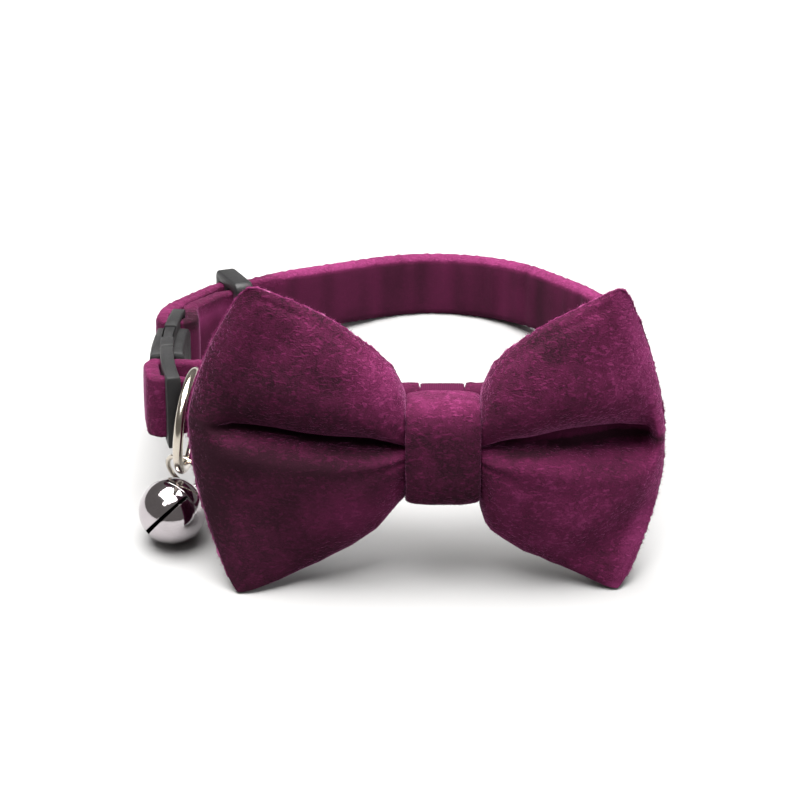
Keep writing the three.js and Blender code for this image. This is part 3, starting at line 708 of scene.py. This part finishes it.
def strapShade(row, far, up, inner, phases, doubled):
    # painted light on the top and the thin stretches, painted shade on the inner face and its ripples, and a
    # painted shadow on the doubled end's top by the buckle
    y, tall = row[1], row[5]
    top, full = smoothStep(*strap["topSpan"], up), smoothStep(*strap["fullSpan"], tall)
    face = (1 - top) * smoothStep(*strap["innerSpan"], inner)
    nap = strap["topNap"] * top * full * smoothStep(*strap["backSpan"], y) + strap["thinNap"] * (1 - full)
    nap = nap + face * (strap["innerNap"] + strap["streak"] * strapWaves(far, phases, strap["streaks"]))
    if doubled:
        away = smoothStep(*strap["awaySpan"], y)
        near, distant = strap["endTop"]
        nap = nap + smoothStep(*strap["endTopSpan"], up) * (near + (distant - near) * away)
        foot, head = strap["endFace"]
        nap = nap + face * away * (foot + head * smoothStep(*strap["endFaceSpan"], up))
    return nap, strap["tuft"] + strap["faceTuft"] * face


def makeStrap():
    rows = strapStations(strap["rows"], strap["step"])
    pressX, pressY, pressReach = strap["pressed"]
    pressed = np.hypot(rows[:, 0] - pressX, rows[:, 1] - pressY) < pressReach
    window = softWindow(2 * strap["soft"] + 1)
    thickness, height = 4, 5
    for column in (thickness, height):
        padded = np.pad(rows[:, column], strap["soft"], mode="edge")
        soft = np.minimum(np.convolve(padded, window, "valid"), rows[:, column] + strap["softMore"])
        rows[:, column] = np.where(pressed, rows[:, column], soft)
    far = distances(rows[:, :2])
    foldX, foldY = strap["fold"]
    foldAt = far[np.argmin(np.hypot(rows[:, 0] - foldX, rows[:, 1] - foldY))]
    phases = np.random.default_rng(strap["seed"]).uniform(0, 6.28, 6)
    points, paintedLights, tufts = [], [], []
    for row, s in zip(rows, far):
        ring, up, inner = strapRing(row, s, min(s, far[-1] - s), phases)
        nap, tuft = strapShade(row, s, up, inner, phases, s < foldAt)
        points.append(ring)
        paintedLights.append(nap)
        tufts.append(tuft)
    shape = aboveFloor(np.concatenate(points))
    obj = meshPiece("velvet_strap", shape, tubeFaces(len(rows), len(points[0]), False), strapVelvet)
    paint(obj, nap=np.concatenate(paintedLights), tuft=np.concatenate(tufts))
    return obj


strapPiece = makeStrap()
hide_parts("collar_strap")
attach(strapPiece, "root")
print("strap made")

knot = {"wide": 13.4, "halfTall": 9.85, "halfDeep": 6.25, "wall": 2.0, "round": 0.62, "crown": 0.35,
        "lumps": 0.08, "seed": 11, "topNap": 0.1, "topSpan": (0.7, 0.95), "lowNap": -0.19,
        "lowSpan": (0.85, 0.3), "tuft": 0.9}
keeper = {"wide": 8, "halfTall": 6.05, "halfDeep": 2.6, "wall": 0.5, "round": 0.34, "crown": 0.0,
          "lumps": 0.02, "seed": 12, "y": -9}
band = {"along": 132, "around": 40, "turn": 0.05, "flat": 0.35, "full": 0.6, "lumpSize": 6.0,
        "lumpWay": (1.0, 0.6, 0.6)}


def bandPiece(name, size, centre, finish):
    angles = np.linspace(0, 2 * math.pi, band["along"], endpoint=False)
    outline = np.stack([blunt(np.cos(angles), size["round"]) * size["halfDeep"],
                        blunt(np.sin(angles), size["round"]) * size["halfTall"]], -1)
    ahead = np.roll(outline, -1, 0) - np.roll(outline, 1, 0)
    normal = unit(np.stack([ahead[:, 1], -ahead[:, 0]], -1))
    around = np.linspace(0, 2 * math.pi, band["around"], endpoint=False) + band["turn"]
    flat, thick = blunt(np.cos(around), band["flat"]), blunt(np.sin(around), band["full"])
    inward = (thick - 1) * size["wall"] / 2 + size["crown"] * (1 - flat ** 2) * (thick > 0)
    points = [np.stack([flat * size["wide"] / 2, spot[0] + way[0] * inward, spot[1] + way[1] * inward], -1)
              for spot, way in zip(outline, normal)]
    shape = np.concatenate(points)
    lump = softNoise(shape, band["lumpSize"], size["seed"])[:, None]
    shape = shape + lump * size["lumps"] * np.array(band["lumpWay"]) + np.array(centre)
    return meshPiece(name, inFrame(shape), tubeFaces(band["along"], band["around"], True), finish)


knotPiece = bandPiece("velvet_knot", knot, (*bow["place"], -bow["drop"]), knotVelvet)
# painted light on the knot's top and painted shade on its lower part
knotHigh = (ownPlace(knotPiece)[:, 2] + bow["drop"]) / knot["halfTall"]
knotPaintedLight = knot["topNap"] * smoothStep(*knot["topSpan"], knotHigh)
knotPaintedLight += knot["lowNap"] * smoothStep(*knot["lowSpan"], knotHigh)
paint(knotPiece, nap=knotPaintedLight, tuft=np.full_like(knotHigh, knot["tuft"]))
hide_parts("bow_knot")
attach(knotPiece, "root")
keeperPiece = bandPiece("elastic_keeper", keeper, (bow["place"][0], keeper["y"], 0), elastic)
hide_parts("bow_keeper")
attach(keeperPiece, "root")
print("knot and keeper made")

seam = {"radius": 0.17, "uneven": 0.05, "around": 8, "seed": 31, "from": 8.2, "leftOff": 9, "step": 0.55,
        "thinnest": 0.06, "thickest": 0.3, "end": 0.1}


def makeSeam():
    points, faces = [], []
    rng = np.random.default_rng(seam["seed"])
    count = seam["around"]
    turns = np.arange(count) * 2 * math.pi / count
    for end in bow["ends"]:
        sheet = bowWing(end, "front")
        first = int(np.argmax(np.abs(sheet[:, -1, 0]) > seam["from"]))
        path = np.concatenate([sheet[first:-1, -1], sheet[-1, ::-1]])[:-seam["leftOff"]]
        far = distances(path)
        steps = np.arange(0, far[-1], seam["step"])
        path = np.stack([np.interp(steps, far, path[:, k]) for k in range(3)], -1)
        path = path + np.array([*bow["place"], 0])
        ahead = unit(np.gradient(path, axis=0))
        side = unit(np.cross(ahead, [0.0, 1.0, 0.0]))
        other = np.cross(side, ahead)
        path = path + rng.normal(size=path.shape) * seam["uneven"]
        fat = seam["radius"] + seam["uneven"] * rng.normal(size=len(path))
        fat = np.clip(fat, seam["thinnest"], seam["thickest"])
        fat[0] = fat[-1] = seam["end"]
        faces += tubeFaces(len(path), count, False, sum(len(p) for p in points))
        rings = path[:, None] + fat[:, None, None] * (side[:, None] * np.cos(turns)[None, :, None]
                                                      + other[:, None] * np.sin(turns)[None, :, None])
        points.append(rings.reshape(-1, 3))
    return meshPiece("bow_seam", aboveFloor(np.concatenate(points)), faces, seamThread)


seamPiece = makeSeam()
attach(seamPiece, "root")
print("seam made")

pileLook = {
    "bow": {"count": 26000, "long": (0.12, 0.36), "thick": 0.03, "nap": (0.35, -0.1, -0.4), "seed": 21},
    "strap": {"count": 12000, "long": (0.08, 0.22), "thick": 0.03, "nap": (0.3, 0.0, -0.3), "seed": 22},
    "knot": {"count": 6000, "long": (0.12, 0.36), "thick": 0.03, "nap": (0.1, -0.1, -0.5), "seed": 23},
    "seam": {"count": 4200, "long": (0.25, 0.85), "thick": 0.028, "nap": (0.0, 0.0, 0.0), "seed": 24},
}
# how far hairs stay off the floor, follow the nap, stray, rise at least, and are sunk
pileLaid = {"clear": 1.2, "brushed": (0.4, 1.3), "stray": 0.5, "rise": 0.35, "sunk": 0.04,
            "turns": (0, 2.094, 4.189)}


def pileOn(name, obj, look, finish):
    data = obj.data
    data.calc_loop_triangles()
    corner = np.zeros(len(data.vertices) * 3)
    data.vertices.foreach_get("co", corner)
    corner = corner.reshape(-1, 3)
    picked = np.zeros(len(data.loop_triangles) * 3, int)
    data.loop_triangles.foreach_get("vertices", picked)
    picked = picked.reshape(-1, 3)
    first, second, third = corner[picked].transpose(1, 0, 2)
    normal = np.cross(second - first, third - first)
    area = np.linalg.norm(normal, axis=1)
    nap, tuft = np.zeros(len(corner)), np.ones(len(corner))
    for layer, values in (("nap", nap), ("tuft", tuft)):
        if layer in data.attributes:
            data.attributes[layer].data.foreach_get("value", values)
    chance = area * tuft[picked].mean(1) ** 2
    rng = np.random.default_rng(look["seed"])
    which = rng.choice(len(picked), look["count"], p=chance / chance.sum())
    share = rng.random((look["count"], 2))
    over = share.sum(1) > 1
    share[over] = 1 - share[over]
    first, second, third = first[which], second[which], third[which]
    spot = first + (second - first) * share[:, :1] + (third - first) * share[:, 1:]
    out = normal[which] / area[which][:, None]
    keep = spot[:, 2] > pileLaid["clear"] * mm
    # the hairs carry the painted light and shade of the surface under them
    spot, out, tone = spot[keep], out[keep], nap[picked[which[keep], 0]]
    count = len(spot)
    brushed = np.array(look["nap"]) * rng.uniform(*pileLaid["brushed"], (count, 1))
    way = out + brushed + rng.normal(size=(count, 3)) * pileLaid["stray"]
    way -= out * np.minimum(0, (way * out).sum(1) - pileLaid["rise"])[:, None]
    way = unit(way)
    side = unit(np.cross(way, rng.normal(size=(count, 3))))
    other = np.cross(way, side)
    long = rng.uniform(*look["long"], (count, 1)) * mm
    thick = look["thick"] * mm
    foot = spot - out * pileLaid["sunk"] * mm
    ring = [foot + (side * math.cos(a) + other * math.sin(a)) * thick for a in pileLaid["turns"]]
    points = np.stack([*ring, foot + way * long], 1).reshape(-1, 3)
    faces = []
    for b in range(0, 4 * count, 4):
        faces += [(b, b + 1, b + 3), (b + 1, b + 2, b + 3), (b + 2, b, b + 3), (b + 2, b + 1, b)]
    hair = meshPiece(name, points, faces, finish)
    paint(hair, nap=np.repeat(tone, 4))
    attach(hair, "root")


pileOn("bow_pile", bowPiece, pileLook["bow"], pile)
pileOn("strap_pile", strapPiece, pileLook["strap"], pile)
pileOn("knot_pile", knotPiece, pileLook["knot"], pile)
pileOn("seam_pile", seamPiece, pileLook["seam"], seamThread)
print("pile made")

moulded = {"buckle_male": "buckle_tongue", "buckle_female": "buckle_body", "slider": "strap_slider"}
mouldedEdge = {"weld": 0.00001, "flatDeg": 1.0, "bevel": 0.00016, "bevelDeg": 40, "smoothDeg": 38}


def mouldedCopy(node, name):
    obj = bpy.data.objects.new(name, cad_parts[node].data.copy())
    bpy.context.scene.collection.objects.link(obj)
    obj.data.materials.clear()
    obj.data.materials.append(plastic)
    editWhole(obj, (bpy.ops.mesh.remove_doubles, {"threshold": mouldedEdge["weld"]}),
              (bpy.ops.mesh.dissolve_limited, {"angle_limit": math.radians(mouldedEdge["flatDeg"])}))
    modifier(obj, "BEVEL", width=mouldedEdge["bevel"], segments=2, limit_method="ANGLE",
             angle_limit=math.radians(mouldedEdge["bevelDeg"]))
    bpy.ops.object.shade_smooth_by_angle(angle=math.radians(mouldedEdge["smoothDeg"]))
    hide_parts(node)
    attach(obj, "root")


for node, name in moulded.items():
    mouldedCopy(node, name)
print("buckle and slider made")

ring = {"centre": (-38.6382, -27.9783, 21.9321), "turn": (0.989676, -0.113855, 0.043629, -0.075332),
        "radius": 9.05, "wire": 0.95, "join": 0.06, "joinDeg": 75, "joinWide": 4.0, "upright": True}
jump = {"centre": (-38.9703, -29.4505, 10.7912), "turn": (0.505417, 0.350809, -0.727694, 0.30323),
        "radius": 4.7886, "wire": 0.45, "join": -0.08, "joinDeg": 200, "joinWide": 2.0, "upright": False}


def wireRing(name, size, finish):
    deselectAll()
    bpy.ops.mesh.primitive_torus_add(major_radius=size["radius"] * mm, minor_radius=size["wire"] * mm,
                                     major_segments=112, minor_segments=24)
    obj = bpy.context.object
    obj.name = name

    def atJoin(co):
        angle = math.degrees(math.atan2(co.y, co.x)) - size["joinDeg"]
        return abs((angle + 180) % 360 - 180) < size["joinWide"]

    # the wire's two ends meet: a raised weld on the ring, a nick on the link
    fatten(obj, atJoin, size["join"] * mm)
    matrix = Matrix.Translation(Vector(size["centre"]) * mm) @ Quaternion(size["turn"]).to_matrix().to_4x4()
    if size["upright"]:
        matrix = matrix @ Matrix.Rotation(math.pi / 2, 4, "Y")
    settle(obj, matrix)
    pick(obj)
    bpy.ops.object.shade_smooth()
    obj.data.materials.append(finish)
    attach(obj, "root")
    return obj


ringPiece = wireRing("strap_ring", ring, nickel)
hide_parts("ring")
jumpPiece = wireRing("bell_link", jump, nickel)
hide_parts("jump_ring")

bell = {
    "centre": (-41.9382, -34.7629, 6.25), "headingDeg": 236.7, "radius": 6.25, "wall": 0.5,
    # the slot from its far end: share of the radius along it, and half width
    "slot": [(-0.76, 1.05), (-0.5, 0.44), (0.6, 0.36), (1, 0.288)], "slotTurnDeg": 52, "slotFrom": 0.2,
    "bevel": 0.00007, "bevelDeg": 40, "smoothDeg": 35,
    "eye": 1.5, "eyeWire": 0.45, "lip": 0.09, "lipSunk": 0.05,
    "pellet": 1.7, "pelletSeam": 0.04, "pelletSeamWide": 0.1, "pelletDrop": 3.45,
}


def bellMatrix():
    heading = Matrix.Rotation(math.radians(bell["headingDeg"]), 4, "Z")
    return Matrix.Translation(Vector(bell["centre"]) * mm) @ heading


def slotTool():
    # a blade that widens towards the far end of the slot
    outline = [(share * bell["radius"], half) for share, half in bell["slot"]]
    outline += [(y, -z) for y, z in reversed(outline)]
    points = [(x, y, z) for x in (bell["slotFrom"], 2 * bell["radius"]) for y, z in outline]
    n = len(outline)
    faces = [tuple(range(n)), tuple(range(n, 2 * n))]
    faces += [(i, (i + 1) % n, n + (i + 1) % n, n + i) for i in range(n)]
    tool = meshPiece("slot_tool", np.array(points) * mm, faces, bellInsideShade)
    settle(tool, Matrix.Rotation(math.radians(bell["slotTurnDeg"]), 4, "X"))
    return tool


def cutWith(obj, tool):
    modifier(obj, "BOOLEAN", operation="DIFFERENCE", solver="EXACT", material_mode="TRANSFER", object=tool)
    bpy.data.objects.remove(tool)


def makeBell():
    deselectAll()
    bpy.ops.mesh.primitive_uv_sphere_add(segments=96, ring_count=64, radius=bell["radius"] * mm,
                                         rotation=(0, math.pi / 2, 0))
    shell = bpy.context.object
    shell.name = "chrome_bell"
    bpy.ops.object.transform_apply()
    shell.data.materials.append(chrome)
    shell.data.materials.append(bellInsideShade)
    deselectAll()
    bpy.ops.mesh.primitive_uv_sphere_add(segments=64, ring_count=40,
                                         radius=(bell["radius"] - bell["wall"]) * mm)
    hollow = bpy.context.object
    hollow.data.materials.append(bellInsideShade)
    # the cuts carry the painted shade onto the inside and onto the slot's walls
    cutWith(shell, hollow)
    cutWith(shell, slotTool())
    modifier(shell, "BEVEL", width=bell["bevel"], segments=2, limit_method="ANGLE",
             angle_limit=math.radians(bell["bevelDeg"]))
    # rolled lip where the two halves meet, and the wire eye
    deselectAll()
    bpy.ops.mesh.primitive_torus_add(major_radius=(bell["radius"] - bell["lipSunk"]) * mm,
                                     minor_radius=bell["lip"] * mm, major_segments=96, minor_segments=12,
                                     rotation=(0, math.pi / 2, 0))
    lip = bpy.context.object
    deselectAll()
    off = bell["radius"] + bell["eye"] - bell["eyeWire"] / 2
    bpy.ops.mesh.primitive_torus_add(major_radius=bell["eye"] * mm, minor_radius=bell["eyeWire"] * mm,
                                     major_segments=48, minor_segments=14, rotation=(math.pi / 2, 0, 0),
                                     location=(-off * mm, 0, 0))
    eye = bpy.context.object
    for part in (lip, eye):
        part.data.materials.append(chrome)
        pick(part)
        bpy.ops.object.transform_apply()
    deselectAll()
    for part in (lip, eye, shell):
        part.select_set(True)
    bpy.context.view_layer.objects.active = shell
    bpy.ops.object.join()
    settle(shell, bellMatrix())
    pick(shell)
    bpy.ops.object.shade_smooth_by_angle(angle=math.radians(bell["smoothDeg"]))
    return shell


bellPiece = makeBell()
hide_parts("bell_shell")
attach(bellPiece, "root")

deselectAll()
bpy.ops.mesh.primitive_ico_sphere_add(subdivisions=4, radius=bell["pellet"] * mm)
pelletPiece = bpy.context.object
pelletPiece.name = "bell_ball"
seamHalf = bell["pelletSeamWide"] * bell["pellet"] * mm
fatten(pelletPiece, lambda co: abs(co.z) < seamHalf, bell["pelletSeam"] * mm)
settle(pelletPiece, Matrix.Translation((Vector(bell["centre"]) + Vector((0, 0, -bell["pelletDrop"]))) * mm))
pick(pelletPiece)
bpy.ops.object.shade_smooth()
pelletPiece.data.materials.append(bellInsideShade)
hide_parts("bell_pellet")
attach(pelletPiece, "root")
print("ring, link and bell made")

studio = {
    "floorSize": 6, "floor": (0.25, 0.25, 0.25, 1), "world": (1.0, 0.95, 0.92, 1), "worldStrength": 0.2,
    "lights": [  # name, place, size, power, colour
        ("top softbox", (-0.05, 0.06, 0.8), 0.85, 45.0, (1.0, 0.99, 0.98)),
        ("front softbox", (-0.3, -0.35, 0.6), 0.14, 0.6, (1.0, 0.98, 0.97)),
        ("right softbox", (0.52, -0.35, 0.4), 0.3, 2.0, (0.98, 0.98, 1.0)),
    ],
    "distance": 0.5, "elevationDeg": 33.545107, "lens": 120.96, "sensor": 36, "clipStart": 0.01,
}

deselectAll()
bpy.ops.mesh.primitive_plane_add(size=studio["floorSize"])
floor = bpy.context.object
floor.name = "floor"
floorLook = {"Base Color": studio["floor"], "Roughness": 0.85, "Specular IOR Level": 0.1}
floor.data.materials.append(Finish("pale floor").close(floorLook))

world = bpy.data.worlds.new("studio")
world.use_nodes = True
sky = world.node_tree.nodes["Background"].inputs
sky["Color"].default_value = studio["world"]
sky["Strength"].default_value = studio["worldStrength"]
bpy.context.scene.world = world

target = Vector(collar["origin"]) * mm
for name, place, size, power, colour in studio["lights"]:
    bpy.ops.object.light_add(type="AREA", location=place)
    lamp = bpy.context.object
    lamp.name = name
    lamp.data.shape = "SQUARE"
    lamp.data.size = size
    lamp.data.energy = power
    lamp.data.color = colour
    lamp.rotation_euler = (target - Vector(place)).to_track_quat("-Z", "Y").to_euler()

elevation = math.radians(studio["elevationDeg"])
eyePoint = target + studio["distance"] * Vector((0, -math.cos(elevation), math.sin(elevation)))
bpy.ops.object.camera_add(location=eyePoint, rotation=(math.pi / 2 - elevation, 0, 0))
camera = bpy.context.object
camera.name = "photo camera"
camera.data.lens = studio["lens"]
camera.data.sensor_width = studio["sensor"]
camera.data.clip_start = studio["clipStart"]
bpy.context.scene.camera = camera
bpy.context.scene.view_settings.view_transform = "Standard"
print("studio made")
